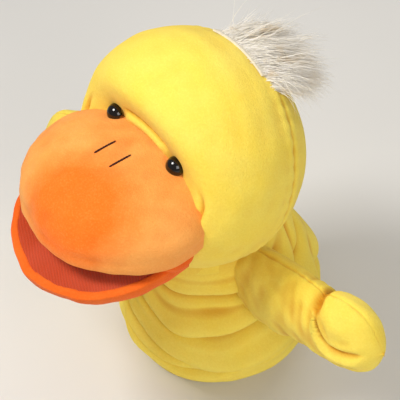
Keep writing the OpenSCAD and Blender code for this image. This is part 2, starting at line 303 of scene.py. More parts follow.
def mark_shaded_creases(mesh, passes):
    """Stores how far each point lies in a hollow (above 0) or on a ridge (below 0), for painted shade in hollows
    and painted highlight on ridges
    """
    count = len(mesh.vertices)
    ends = np.zeros(2 * len(mesh.edges), dtype=np.int32)
    mesh.edges.foreach_get("vertices", ends)
    one, other = ends.reshape(-1, 2).T
    links = np.maximum(np.bincount(ends, minlength=count), 1)
    points = coordinates(mesh)
    smooth = points.copy()
    for _ in range(passes):
        pulled = [np.bincount(one, smooth[other, k], count)
                  + np.bincount(other, smooth[one, k], count) for k in range(3)]
        smooth = 0.5 * smooth + 0.5 * np.column_stack(pulled) / links[:, None]
    normals = np.zeros(3 * count)
    mesh.vertices.foreach_get("normal", normals)
    hollow = np.sum((smooth - points) * normals.reshape(-1, 3), axis=1)
    whole = np.median(hollow)
    crease = mesh.attributes.new("crease", "FLOAT", "POINT")
    share = np.clip((hollow - whole) / CREASE_SHADE_DEPTH, -1, 1)
    crease.data.foreach_set("value", share.astype(np.float32))


def add_object(name, data):
    """A new object in the scene"""
    thing = bpy.data.objects.new(name, data)
    bpy.context.scene.collection.objects.link(thing)
    return thing


def add_piece(name, mesh, slot, body=None, replaces=(), finish=None):
    """A visible piece with the finish of its material slot, attached to its body, hiding the nodes it stands for
    """
    piece = add_object(name, mesh)
    mesh.shade_smooth()
    mesh.materials.append(finish_of(finish or slot))
    # plush pieces get a crease attribute that their finish turns into painted shade and painted highlight
    if slot in ("yellow_plush", "orange_plush"):
        mark_shaded_creases(mesh, BROAD_PASSES if name == "body_plush" else FINE_PASSES)
    if body:
        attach(piece, body)
    if replaces:
        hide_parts(*replaces)
    return piece


def give_thickness(piece, thickness):
    """Turns a sheet into a wall that grows inwards"""
    wall = piece.modifiers.new("Cloth thickness", "SOLIDIFY")
    wall.thickness, wall.offset = thickness, -1


# ---- finishes
def tone(colour, factor, lift=0.0):
    """A darker or lighter tone of the colour"""
    return tuple(min(1, factor * c + lift) for c in colour[:3]) + (1,)


class Finish:
    """A node material that is put together a node at a time"""

    def __init__(self, name, roughness, sheen=0.0, soft=0.0):
        self.material = bpy.data.materials.new(name)
        self.material.use_nodes = True
        self.nodes = self.material.node_tree.nodes
        self.links = self.material.node_tree.links
        self.shader = self.nodes["Principled BSDF"]
        self.set(self.shader, {"Roughness": roughness, "Sheen Weight": sheen,
                               "Sheen Roughness": 0.45, "Specular IOR Level": 0.25})
        if soft:
            self.set(self.shader, {"Subsurface Weight": soft, "Subsurface Scale": 0.004,
                                   "Subsurface Radius": (1, 0.55, 0.2)})
        self.place = self.add("ShaderNodeTexCoord").outputs["Object"]

    def add(self, kind, values=None, **settings):
        node = self.nodes.new(kind)
        for key, value in settings.items():
            setattr(node, key, value)
        self.set(node, values or {})
        return node

    def set(self, node, values):
        """Gives each input of the node its constant or its link"""
        for key, value in values.items():
            if isinstance(value, bpy.types.NodeSocket):
                self.links.new(value, node.inputs[key])
            else:
                node.inputs[key].default_value = value

    def noise(self, scale, detail=2, rough=0.5):
        return self.add("ShaderNodeTexNoise", {
            "Vector": self.place, "Scale": scale, "Detail": detail, "Roughness": rough,
        }).outputs["Fac"]

    def wave(self, scale, distortion, way, detail=2.0, detail_scale=1.0):
        return self.add("ShaderNodeTexWave", {
            "Vector": self.place, "Scale": scale, "Distortion": distortion, "Detail": detail,
            "Detail Scale": detail_scale}, bands_direction=way).outputs["Fac"]

    def ramp(self, value, stops):
        node = self.add("ShaderNodeValToRGB", {"Fac": value})
        elements = node.color_ramp.elements
        while len(elements) < len(stops):
            elements.new(0.5)
        for element, (position, colour) in zip(elements, stops):
            element.position, element.color = position, colour
        return node.outputs["Color"]

    def mix(self, factor, first, second):
        """Two colours, mixed by the factor; inputs 6 and 7 are the node's colours"""
        node = self.add("ShaderNodeMix", data_type="RGBA")
        self.set(node, {0: factor, 6: first, 7: second})
        return node.outputs[2]

    def math(self, operation, *values):
        node = self.add("ShaderNodeMath", operation=operation)
        self.set(node, dict(enumerate(values)))
        return node.outputs[0]

    def colour(self, value):
        self.set(self.shader, {"Base Color": value})

    def bump(self, value, strength, distance):
        node = self.add("ShaderNodeBump",
                        {"Strength": strength, "Distance": distance, "Height": value})
        self.set(self.shader, {"Normal": node.outputs["Normal"]})


def plush(name, deep, pale, nose=None):
    """Short soft pile: brushed patches, a fine nap and a sheen at its edges, with painted shade in its hollows and
    painted highlight on its ridges
    """
    finish = Finish(name, 0.9, sheen=0.12, soft=0.08)
    finish.set(finish.shader, {"Sheen Tint": (*[0.5 + 0.5 * c for c in pale[:3]], 1)})
    brushed = finish.ramp(finish.noise(30, 3, 0.55), [(0.15, deep), (0.85, pale)])
    fine = finish.ramp(finish.noise(700, 3, 0.7),
                       [(0.3, tone(deep, 0.78)), (0.5, deep), (0.72, tone(pale, 1.12, 0.02))])
    if nose:
        # a patch of stronger colour with a ragged edge; the paler colours round it are painted sheen
        centre, reach, colour = nose
        apart = finish.add("ShaderNodeVectorMath", {0: finish.place, 1: tuple(centre)},
                           operation="DISTANCE")
        ragged = finish.math("MULTIPLY_ADD", finish.noise(45, 4, 0.6), 0.016, -0.008)
        spread = finish.math("ADD", apart.outputs["Value"], ragged)
        near = finish.ramp(finish.math("DIVIDE", spread, reach),
                           [(0.55, (1, 1, 1, 1)), (1.0, (0, 0, 0, 1))])
        brushed = finish.mix(near, brushed, colour)
    napped = finish.mix(0.22, brushed, fine)
    # painted shade: hollows are darkened towards a deep orange; painted highlight: ridges are paler
    crease = finish.add("ShaderNodeAttribute", attribute_name="crease").outputs["Fac"]
    painted_shade = (0.70 * deep[0], 0.38 * deep[1], 0.05 * deep[2], 1)
    dark = finish.math("MULTIPLY", finish.math("MAXIMUM", crease, 0.0), 0.9)
    ridge = finish.math("MAXIMUM", finish.math("MULTIPLY", crease, -1.0), 0.0)
    light = finish.math("MULTIPLY", ridge, 0.12)
    finish.colour(finish.mix(light, finish.mix(dark, napped, painted_shade), tone(pale, 1.08, 0.01)))
    nap = finish.math("ADD", finish.noise(1100, 2, 0.7), finish.noise(260, 3, 0.6))
    finish.bump(nap, 0.55, 0.0011)
    return finish.material


def ribbed(name, colour):
    """Ribbed cloth of the mouth: fine ridges across it and a speckle of lighter threads"""
    finish = Finish(name, 0.8, sheen=0.3, soft=0.05)
    pale = tone(colour, 1.15, 0.03)
    ribs = finish.wave(380, 0.8, "DIAGONAL", 1.0, 2.0)
    threads = finish.ramp(ribs, [(0.15, tone(colour, 0.55)), (0.6, colour), (0.95, pale)])
    patch = finish.ramp(finish.noise(40), [(0.3, colour), (0.7, pale)])
    finish.colour(finish.mix(0.5, threads, patch))
    finish.bump(finish.math("ADD", ribs, finish.noise(1500)), 0.7, 0.0006)
    return finish.material


def woven(name, colour):
    """Plain woven lining: two sets of fine threads"""
    finish = Finish(name, 0.85, sheen=0.1)
    weave = finish.math("MULTIPLY", *(finish.wave(400, 0.4, way) for way in ("X", "Z")))
    finish.colour(finish.ramp(weave, [(0.0, tone(colour, 0.7)), (0.5, colour)]))
    finish.bump(weave, 0.5, 0.0004)
    return finish.material


def fibrous(name, colour):
    """Stuffing, board or backing: a matt surface of tangled fibres"""
    finish = Finish(name, 0.95, sheen=0.1)
    finish.colour(finish.ramp(finish.noise(300, 5, 0.7),
                              [(0.3, tone(colour, 0.8)), (0.7, colour)]))
    finish.bump(finish.noise(500, 4, 0.7), 0.6, 0.001)
    return finish.material


def polished(name, colour, roughness):
    """Hard polished or moulded plastic with a trace of unevenness"""
    finish = Finish(name, roughness)
    finish.set(finish.shader,
               {"Specular IOR Level": 0.4, "Coat Weight": 0.3, "Coat Roughness": 0.03})
    finish.colour(finish.ramp(finish.noise(60), [(0.3, colour), (0.7, tone(colour, 1.3, 0.001))]))
    return finish.material


def long_pile(name, colour):
    """Long soft fur: each strand pale, with warmer patches"""
    finish = Finish(name, 0.55, sheen=0.3, soft=0.1)
    warm = (0.88 * colour[0], 0.78 * colour[1], 0.62 * colour[2], 1)
    finish.colour(finish.ramp(finish.noise(90, 3, 0.6), [(0.25, warm), (0.48, colour)]))
    return finish.material


FINISHES = {}


def finish_of(slot):
    """The material of a slot of the record, made the first time it is asked for"""
    if slot not in FINISHES:
        c = {name: tuple(getattr(colours(), name)) for name in PuppetColours.__annotations__}
        makers = {
            "yellow_plush": (plush, c["yellow"], c["yellow_pale"]),
            "orange_plush": (plush, c["orange"], c["coral"]),
            # the upper beak is its orange paled by painted sheen, except at its front
            "nose_plush": (plush, c["orange_pale"], c["peach"], (NOSE, 0.050, c["nose"])),
            "mouth_cloth": (ribbed, c["mouth"]),
            "lining_cloth": (woven, (0.84, 0.66, 0.17, 1)),
            "stuffing": (fibrous, (0.84, 0.84, 0.80, 1)),
            "fur_base": (fibrous, (0.80, 0.74, 0.62, 1)),
            "white_fur": (long_pile, c["fur"]),
            "mouth_board": (fibrous, (0.34, 0.22, 0.11, 1)),
            "dark_thread": (fibrous, c["thread"]),
            "eye_black": (polished, (0.003, 0.002, 0.002, 1), 0.10),
            "washer_plastic": (polished, (0.75, 0.75, 0.75, 1), 0.4),
        }
        maker, *values = makers[slot]
        FINISHES[slot] = maker(slot, *values)
    return FINISHES[slot]


# ---- shapes
def head_shape(ways):
    """The stuffed head in its own frame: hollowed by the beak, with a seam and soft creases"""
    s = sizes()
    half = np.array([s.head_w, s.head_d, s.head_h]) / 2
    points = ways * half
    face = np.clip(-ways[:, 1], 0, 1)
    across = np.abs(points[:, 0])
    # level is 1 round the edge of the hollow that the beak is sewn into
    level = np.sqrt((points[:, 0] / 0.067) ** 2 + ((points[:, 2] + 0.001) / 0.040) ** 2)
    points[:, 1] += face * 0.034 * np.exp(-level ** 4)
    # two deeper hollows leave room for the mouth's fold and for the thumb
    under_fold = np.exp(-(across / 0.060) ** 6) * bump_between(points[:, 2], -0.043, 0.017)
    under_thumb = np.exp(-(across / 0.023) ** 4) * bump_between(points[:, 2], -0.060, 0.016)
    points[:, 1] += face * (0.017 * under_fold + 0.011 * under_thumb)
    forehead = bump_between(across, 0.035, 0.04) * rise(points[:, 2], 0.01, 0.06)
    points += ways * (0.003 * forehead * face)[:, None]
    # the plush rolls and creases round that edge: over the middle of the beak and at its sides
    above = rise(points[:, 2], 0.0, 0.012) * (1 - rise(across, 0.016, 0.027))
    welt = bump_between(level, 0.60, 0.085) * above
    crease = bump_between(level, 0.74, 0.03) * above
    beside = rise(np.abs(points[:, 0]), 0.038, 0.048) * (1 - rise(points[:, 2], 0.0, 0.018))
    lower = rise(points[:, 2], -0.045, -0.015)
    cheek = bump_between(level, 0.96, 0.035) * beside * lower
    roll = bump_between(level, 1.05, 0.05) * beside * lower
    points[:, 1] -= face * (0.0036 * welt - 0.0030 * crease - 0.0036 * cheek + 0.0022 * roll)
    # each eye is pulled in
    for side in ("left", "right"):
        low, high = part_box(f"eye_{side}")
        middle = head_space().inverted() @ ((Vector(low) + Vector(high)) / 2)
        near = np.hypot(points[:, 0] - middle.x, points[:, 2] - middle.z)
        points[:, 1] += face * 0.0024 * bump_between(near, 0, 0.0085)
    # the seam is a groove between two soft ridges, with small gathers along it
    seam = points[:, 1] - s.seam_back
    away = ways * [1, 0.2, 1]
    groove = (-0.0013 * bump_between(seam, 0, 0.0013)
              + 0.0006 * bump_between(np.abs(seam), 0.0045, 0.003))
    turn = np.arctan2(points[:, 0], points[:, 2])
    gathers = 0.0004 * np.sin(turn * 46) * bump_between(seam, 0, 0.008)
    soft = 0.0009 * lumps(points, 0.07, 3) + 0.0004 * lumps(points, 0.022, 4)
    points += away * (groove + gathers + soft)[:, None]
    return points


def beak_shape(half):
    """A fuller dome than an ellipsoid on a level plane, closed by a shallow underside"""
    def shape(ways):
        tall = np.clip(ways[:, 2], -1, 1)
        slope = np.arcsin(np.abs(tall))
        reach = np.cos(slope) ** DOME
        height = np.sin(slope) ** DOME
        flat = np.maximum(np.hypot(ways[:, 0], ways[:, 1]), TINY)
        x = half[0] * reach * ways[:, 0] / flat
        y = -BEAK_BACK + half[1] * reach * ways[:, 1] / flat
        # the underside is a rolled edge round a hollow for the mouth's cloth
        centre = np.hypot(x / half[0], (y + BEAK_BACK) / half[1])
        edge = np.sqrt(np.clip(1 - ((centre - 0.95) / 0.05) ** 2, 0, 1))
        hollow = (centre < 0.92) * rise(-centre, -0.95, -0.9)
        z = np.where(tall < 0, 0.0035 * hollow - 0.0022 * edge, half[2] * height)
        return np.column_stack([x, y, z])
    return shape


# Folds of the slack sleeve. Each row is a fold: its share of the height, the slope and curve of
# its line, the middle and half width of its stretch round the sleeve in radians, its depth in
# metres, and its width as a share of the height.
FOLDS = (
    (0.800, 0.03, 0.060, 0.10, 0.85, 0.0052, 0.024),
    (0.655, -0.16, 0.04, -0.85, 0.60, 0.0056, 0.024),
    (0.600, 0.10, 0.09, 0.40, 0.95, 0.0088, 0.034),
    (0.475, -0.15, 0.05, -0.75, 0.55, 0.0056, 0.022),
    (0.455, 0.16, 0.02, 0.75, 0.55, 0.0050, 0.022),
    (0.350, 0.05, 0.08, 0.10, 1.25, 0.0096, 0.038),
    (0.235, -0.08, 0.05, -0.55, 0.60, 0.0046, 0.022),
    (0.175, 0.06, 0.03, 0.35, 0.95, 0.0062, 0.026),
    (0.730, 0.04, 0.03, 1.75, 0.70, 0.0048, 0.028),
    (0.480, -0.05, 0.02, 2.10, 0.90, 0.0058, 0.032),
    (0.250, 0.03, 0.02, 2.50, 1.00, 0.0050, 0.030),
    (0.660, 0.05, 0.02, -2.60, 0.80, 0.0050, 0.030),
    (0.400, -0.04, 0.02, -2.20, 0.90, 0.0058, 0.032),
    (0.200, 0.02, 0.02, -2.00, 0.80, 0.0042, 0.026),
)
FOLDS_FROM = math.radians(-38)       # turn round the sleeve that the folds' middles count from


def torso_shape(angle, t, inset=0.0):
    """Point of the slack sleeve at a turn round it and a share t of its height"""
    s = sizes()
    hem, belly = s.hem_d / 2, s.body_d / 2
    # its top is a ring that stands off the head, a little wider than the neck's opening
    reach = s.head_w / 2 + 0.007
    opening = math.asin(0.074 / s.head_h) + math.radians(7)
    top = HEAD - reach * math.cos(opening) * NECK
    top_r = reach * math.sin(opening)
    widest = 0.4
    upper = np.clip((t - widest) / (1 - widest), 0, 1)
    swell = np.where(t < widest,
                     hem + (belly - hem) * np.sin(np.clip(t / widest, 0, 1) * math.pi / 2),
                     top_r + (belly - top_r) * (0.5 + 0.5 * np.cos(math.pi * upper)))
    lean = math.acos(NECK.z) * t
    centre = np.array(top)[None, :] * t[:, None]
    centre[:, 1] += 0.010 * np.sin(math.pi * t)
    inside = rise(t, 0.02, 0.14) * (1 - rise(t, 0.84, 0.97))
    bulge, drop = np.zeros(len(t)), np.zeros(len(t))
    waver = 0.012 * np.sin(3 * angle + 9 * t) + 0.006 * np.sin(7 * angle + 2 - 5 * t)
    turn = angle - FOLDS_FROM
    for level, slope, curve, middle, stretch, depth, width in FOLDS:
        along = np.arctan2(np.sin(turn - middle), np.cos(turn - middle))
        line = level + slope * along + curve * along ** 2
        v = (t + waver - line) / width
        strength = 1.3 * depth * np.exp(-(along / stretch) ** 4)
        bulge += strength * (0.62 * np.exp(-((v - 1.9) / 1.35) ** 2)
                             + 0.30 * np.exp(-((v + 2.0) / 1.3) ** 2) - np.exp(-v ** 2))
        drop += 0.55 * strength * np.exp(-((v - 1.0) / 1.2) ** 2)
    tuck = np.clip(1 - t / 0.035, 0, 1) ** 2
    stitched = bump_between(t, 0.085, 0.008)
    curl = rise(t, 0.92, 1.0)
    r = swell + bulge * inside - 0.003 * tuck - 0.0008 * stitched - 0.0065 * curl - inset
    x, y = r * np.cos(angle), r * np.sin(angle)
    points = centre + np.column_stack([x, y * np.cos(lean), y * np.sin(lean) - drop * inside])
    points += np.array(NECK)[None, :] * (0.0055 * curl)[:, None]
    out = np.column_stack([np.cos(angle), np.sin(angle), 0 * t])
    points += out * (0.0013 * lumps(points, 0.05, 11) * inside)[:, None]
    return points


def wing_shape(root):
    """A puffy mitt along +X from its root, gathered at the wrist, with a dart on its face"""
    s = sizes()

    def shape(ways):
        along = root + (s.wing_l - root) * (ways[:, 0] + 1) / 2
        t = along / s.wing_l
        around = np.maximum(np.hypot(ways[:, 1], ways[:, 2]), TINY)
        side, up = ways[:, 1] / around, ways[:, 2] / around
        tip = np.clip((t - 0.60) / 0.40, 0, 1)
        ends = 1 - np.abs(ways[:, 0]) ** np.where(ways[:, 0] < 0, 4, 14)
        close = np.sqrt(np.clip(1 - tip ** 2.8, 0, 1)) * np.sqrt(np.clip(ends, 0, 1))
        wrist = bump_between(t, 0.46, 0.16)
        wide = 1 - 0.08 * wrist
        thick = 1 - 0.10 * wrist + 0.06 * bump_between(t, 0.1, 0.2)
        w = s.wing_w / 2 * wide * close
        d = s.wing_t / 2 * thick * close
        z = w * up - 0.007 * rise(t, 0.3, 1.0) * (1 + 0.4 * up) - 0.006 * (1 - rise(t, 0.2, 0.75))
        points = np.column_stack([along, d * side + 0.006 * (1 - rise(t, -0.2, 0.3)), z])
        out = np.column_stack([np.zeros(len(t)), side, up])
        front = rise(-side, 0.05, 0.5)
        # a fold that starts at the wrist's top, runs down and curls out along the mitt
        u = (along / s.wing_l - 0.545) / 0.40
        line = 0.021 - 0.030 * np.sqrt(np.clip(u / 0.35, 0, 1)) + 0.004 * rise(u, 0.4, 1.0)
        gap = (z - line) / 0.0032
        run = rise(u, -0.03, 0.06) * (1 - rise(u, 0.80, 1.0))
        fold = front * run * (np.exp(-gap ** 2) - 0.75 * np.exp(-((gap + 1.9) / 1.3) ** 2))
        hollow = front * run * np.exp(-((gap - 3.2) / 2.4) ** 2) * (1 - rise(u, 0.6, 0.95))
        pinch = bump_between(t, 0.545, 0.030) * rise(up, 0.1, 0.95)
        gather = (np.sin(along / 0.0075 * 2 * math.pi + 2.5 * up + 2 * side)
                  * bump_between(t, 0.47, 0.13) * (0.35 + 0.65 * rise(up, -0.4, 0.5)))
        seam = bump_between(side, 0, 0.045)
        elbow = bump_between(t, 0.30, 0.05) * rise(-up, 0.1, 0.9)
        run_in = np.sin(along / 0.019 * 2 * math.pi - 1.8 * up) * (1 - rise(t, 0.25, 0.5)) * front
        depth = (0.0004 * run_in - 0.0042 * fold - 0.0028 * hollow - 0.0052 * pinch
                 + 0.0006 * gather - 0.0013 * seam - 0.0025 * elbow
                 + 0.0017 * lumps(points, 0.035, 21) + 0.0006 * lumps(points, 0.014, 22))
        return points + out * (depth * np.sqrt(close))[:, None]
    return shape


# ---- operators
class PUPPET_OT_head(bpy.types.Operator):
    """Build the stuffed plush head with its seam and creases"""
    bl_idname = "puppet.head"
    bl_label = "Head"

    def execute(self, context):
        mesh = ball_mesh("head_plush", 7, head_shape, head_space())
        head = add_piece("head_plush", mesh, "yellow_plush", "head",
                         ("head_front_panel", "head_back_panel", "head_stuffing"))
        return {"FINISHED"}


class PUPPET_OT_tuft(bpy.types.Operator):
    """Build the long fur tuft that is sewn into the head's seam"""
    bl_idname = "puppet.tuft"
    bl_label = "Fur tuft"

    def execute(self, context):
        s = sizes()
        sides, segments = 3, 4
        bm = column(sides, segments, top=0.2, closed=True)
        corners, edges, faces, made = len(bm.verts), len(bm.edges), len(bm.faces), 1
        while made < s.strands:
            more = min(made, s.strands - made)
            bmesh.ops.duplicate(bm, geom=bm.verts[:more * corners] + bm.edges[:more * edges]
                                + bm.faces[:more * faces])
            made += more
        mesh = mesh_from("fur_tuft_strands", bm)
        shapes = coordinates(mesh).reshape(-1, sides * (segments + 1), 3)
        count = len(shapes)
        rng = np.random.default_rng(5)
        # the strands stand in clumps along the seam, each with its own lean and length
        clumps = 70
        spread = rng.uniform(-1, 1, clumps)
        clump_x = 0.0105 + 0.0265 * spread
        clump_y = s.seam_back + rng.normal(0, 0.0034, clumps)
        middle = 1 - spread ** 2
        # the fur lies back and to the duck's left, lower on its left side
        lean_left = 0.52 + 0.16 * spread + 0.12 * middle + rng.normal(0, 0.10, clumps)
        lean_back = 0.72 - 0.10 * spread + rng.normal(0, 0.08, clumps)
        lean_up = -0.02 - 0.16 * spread - 0.08 * middle + rng.normal(0, 0.09, clumps)
        clump_way = (np.column_stack([lean_left, lean_back, lean_up])
                     @ np.array(head_space().to_3x3()))
        clump_len = (0.019 + 0.019 * middle) * rng.uniform(0.6, 1.35, clumps)
        which = rng.integers(0, clumps, count)
        stray = rng.uniform(0, 1, count) < 0.12
        x = clump_x[which] + rng.normal(0, 0.0028, count)
        y = clump_y[which] + rng.normal(0, 0.0022, count)
        half = np.array([s.head_w, s.head_d, s.head_h]) / 2
        z = half[2] * np.sqrt(np.clip(1 - (x / half[0]) ** 2 - (y / half[1]) ** 2, 0, 1))
        root = np.column_stack([x, y, z - 0.001])
        outward = unit(root / half ** 2)
        sweep = unit(clump_way[which]
                     + rng.normal(0, 0.09, (count, 3)) * (1 + 2.2 * stray)[:, None])
        length = clump_len[which] * rng.uniform(0.72, 1.08, count)
        length = np.where(stray, length * 1.1, length)
        width = rng.uniform(0.00017, 0.00030, count)
        gather = np.column_stack([clump_x[which] - x, clump_y[which] - y, 0 * x])
        spin = rng.uniform(0, 6.3, count)
        u = shapes[:, :, 2]
        curl = rng.normal(0, 0.0022, (count, 3))
        # each strand rises from the head, bends over and draws in to its clump's tip
        path = (root[:, None, :]
                + outward[:, None, :] * (length[:, None] * 0.12 * np.sin(u * 2.6))[:, :, None]
                + sweep[:, None, :] * (length[:, None] * u ** 1.35)[:, :, None]
                + gather[:, None, :] * (0.85 * u ** 1.1 * ~stray[:, None])[:, :, None]
                + curl[:, None, :] * (np.sin(u * 4.2) * u)[:, :, None])
        path[:, :, 2] -= length[:, None] * 0.05 * u ** 2.2
        side = unit(np.cross(sweep, outward))
        over = np.cross(side, sweep)
        taper = width[:, None] * (1 - 0.85 * u ** 1.5)
        cosine, sine = np.cos(spin)[:, None], np.sin(spin)[:, None]
        radius = np.hypot(shapes[:, :, 0], shapes[:, :, 1])
        ring = np.where(radius[:, :, None] > TINY,
                        shapes[:, :, :2] / np.maximum(radius, TINY)[:, :, None], 0)
        a = ring[:, :, 0] * cosine - ring[:, :, 1] * sine
        b = ring[:, :, 0] * sine + ring[:, :, 1] * cosine
        points = (path + side[:, None, :] * (a * taper)[:, :, None]
                  + over[:, None, :] * (b * taper)[:, :, None])
        move_points(mesh, points.reshape(-1, 3))
        mesh.transform(head_space())
        bm = bmesh.new()
        bm.from_mesh(mesh)
        bmesh.ops.recalc_face_normals(bm, faces=bm.faces)
        bm.to_mesh(mesh)
        bm.free()
        add_piece("fur_tuft_strands", mesh, "white_fur", "head", ("fur_tuft",))
        return {"FINISHED"}


class PUPPET_OT_upper_beak(bpy.types.Operator):
    """Build the upper beak's plush dome"""
    bl_idname = "puppet.upper_beak"
    bl_label = "Upper beak"

    def execute(self, context):
        s = sizes()
        half = (s.beak_w / 2, s.beak_l - BEAK_BACK, s.beak_h)
        dome = beak_shape(half)

        def shape(ways):
            points = dome(ways)
            lip = bump_between(points[:, 2], 0.0, 0.005)
            out = unit(np.column_stack([points[:, 0], points[:, 1] + BEAK_BACK,
                                        0.6 * points[:, 2]]))
            corner = np.sqrt(((np.abs(points[:, 0]) - half[0]) / 0.022) ** 2
                             + ((points[:, 1] + 0.001) / 0.020) ** 2
                             + ((points[:, 2] - 0.013) / 0.012) ** 2)
            soft = (0.0010 * lumps(points, 0.06, 31) + 0.0005 * lumps(points, 0.018, 32)
                    - 0.0004 * bump_between(points[:, 2], 0.0085, 0.0022)
                    + 0.0042 * np.exp(-corner ** 2))
            return points + out * (soft + 0.0006 * lip)[:, None]

        mesh = ball_mesh("upper_beak", 6, shape,
                         mouth_space() @ Matrix.Translation((0, 0, BEAK_LIFT)))
        beak = add_piece("upper_beak", mesh, "orange_plush", "head",
                         ("upper_beak_plush", "upper_beak_foam"), "nose_plush")
        return {"FINISHED"}


class PUPPET_OT_lower_beak(bpy.types.Operator):
    """Build the lower beak's plush bowl"""
    bl_idname = "puppet.lower_beak"
    bl_label = "Lower beak"

    def execute(self, context):
        s = sizes()
        half = (s.jaw_w / 2, s.jaw_l - BEAK_BACK, s.jaw_h)
        dome = beak_shape(half)

        def shape(ways):
            points = dome(ways * [1, 1, -1])
            centre = np.hypot(points[:, 0] / half[0], (points[:, 1] + BEAK_BACK) / half[1])
            inside = ways[:, 2] > 0
            soft = 0.0011 * lumps(points, 0.05, 41) + 0.0005 * lumps(points, 0.018, 42)
            points[:, 2] *= -1
            points[:, 2] -= inside * 0.003 * rise(-centre, -0.93, -0.82)
            out = unit(np.column_stack([points[:, 0], points[:, 1] + BEAK_BACK, points[:, 2]]))
            return points + out * soft[:, None]

        mesh = ball_mesh("lower_beak", 6, shape)
        cut_mesh(mesh, (0, 0.001, 0), (0, 1, 0))
        mesh.transform(jaw_space() @ Matrix.Translation((0, 0, -0.0028)))
        beak = add_piece("lower_beak", mesh, "orange_plush", "jaw",
                         ("lower_beak_plush", "lower_beak_foam"))
        return {"FINISHED"}


class PUPPET_OT_corners(bpy.types.Operator):
    """Build the soft corners that join the two beaks at the mouth fold"""
    bl_idname = "puppet.corners"
    bl_label = "Mouth corners"

    def execute(self, context):
        s = sizes()
        for side, name in ((1, "mouth_corner_left"), (-1, "mouth_corner_right")):
            def shape(ways, side=side):
                points = ways * [0.0090, 0.0150, 0.0125]
                points += ways * (0.0007 * lumps(points, 0.012, 61))[:, None]
                crease = bump_between(points[:, 2], 0.0005, 0.0013) * rise(-ways[:, 1], 0.2, 0.8)
                points -= ways * (0.0022 * crease)[:, None]
                return points + [side * (s.beak_w / 2 - 0.0080), -0.0020, -0.0010]
            mesh = ball_mesh(name, 5, shape, mouth_space())
            corner = add_piece(name, mesh, "orange_plush")
            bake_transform(corner)
        return {"FINISHED"}


class PUPPET_OT_mouth(bpy.types.Operator):
    """Build the ribbed cloth of the mouth's roof and floor, and the board under the floor"""
    bl_idname = "puppet.mouth"
    bl_label = "Mouth cloth"

    def execute(self, context):
        s = sizes()
        roof = (s.beak_w / 2 - 0.0045, s.beak_l - 0.0065)
        floor = (s.jaw_w / 2 - 0.0040, s.jaw_l - 0.0060)
        for name, (wide, deep), dish, thick, place, slot, body, node in (
                ("mouth_roof_cloth", roof, 0.0012, 0.0015,
                 mouth_space() @ Matrix.Translation((0, 0, 0.0010)), "mouth_cloth", "head",
                 "palate_lining"),
                ("mouth_floor_cloth", floor, -0.0028, 0.0015,
                 jaw_space() @ Matrix.Translation((0, 0, -0.0012)), "mouth_cloth", "jaw",
                 "mouth_floor_lining"),
                ("mouth_floor_board", (floor[0] - 0.004, floor[1] - 0.004), -0.0028, 0.0018,
                 jaw_space() @ Matrix.Translation((0, 0, -0.0032)), "mouth_board", "jaw",
                 "lower_mouth_plate")):
            def shape(ways, wide=wide, deep=deep, dish=dish, thick=thick):
                r = np.hypot(ways[:, 0], ways[:, 1])
                x, y = wide * ways[:, 0], -0.002 + deep * ways[:, 1]
                bowl = dish * (1 - r ** 3)
                edge = thick / 2 * np.sqrt(np.clip(1 - r ** 8, 0, 1)) * np.sign(ways[:, 2])
                flat = np.column_stack([x, y, 0 * x])
                return flat + np.outer(bowl + edge + 0.0003 * lumps(flat, 0.03, 51), [0, 0, 1])
            mesh = ball_mesh(name, 5, shape)
            cut_mesh(mesh, (0, 0.0005, 0), (0, 1, 0))
            mesh.transform(place)
            piece = add_piece(name, mesh, slot, body, (node,))
        return {"FINISHED"}


class PUPPET_OT_nostrils(bpy.types.Operator):
    """Build the two embroidered nostril lines"""
    bl_idname = "puppet.nostrils"
    bl_label = "Nostril stitches"

    def execute(self, context):
        s = sizes()
        for side, name in ((1, "nostril_stitch_left"), (-1, "nostril_stitch_right")):
            def shape(ways, side=side):
                y = -0.005 + 0.0092 * ways[:, 0]
                x0 = side * 0.0085
                u = np.clip(np.hypot(x0 / (s.beak_w / 2),
                                     (y + BEAK_BACK) / (s.beak_l - BEAK_BACK)), 0, 1)
                top = s.beak_h * (1 - u ** (2 / DOME)) ** (DOME / 2)
                strand = 1 + 0.16 * np.sin(y / 0.0011 * math.pi)
                end = np.sqrt(np.clip(1 - ways[:, 0] ** 8, 0, 1))
                around = np.maximum(np.hypot(ways[:, 1], ways[:, 2]), TINY)
                return np.column_stack([x0 + 0.0007 * strand * end * ways[:, 1] / around, y,
                                        top + 0.0003 + 0.0006 * strand * end * ways[:, 2] / around])
            mesh = ball_mesh(name, 5, shape,
                             mouth_space() @ Matrix.Translation((0, 0, BEAK_LIFT)))
            add_piece(name, mesh, "dark_thread", "head", ("nostril_stitches",))
        return {"FINISHED"}


class PUPPET_OT_body(bpy.types.Operator):
    """Build the slack plush sleeve with its folds and hem, and its lining"""
    bl_idname = "puppet.body"
    bl_label = "Body"

    def execute(self, context):
        s = sizes()
        body = add_piece("body_plush", tube_mesh("body_plush", 200, 130, torso_shape),
                         "yellow_plush", "sleeve", ("body_front_panel", "body_back_panel"))
        give_thickness(body, s.cloth)
        mesh = tube_mesh("body_lining_cloth", 120, 70,
                         lambda angle, t: torso_shape(angle, 0.01 + 0.94 * t, s.cloth + 0.0004))
        lining = add_piece("body_lining_cloth", mesh, "lining_cloth", "sleeve", ("body_lining",))
        give_thickness(lining, 0.001)
        return {"FINISHED"}


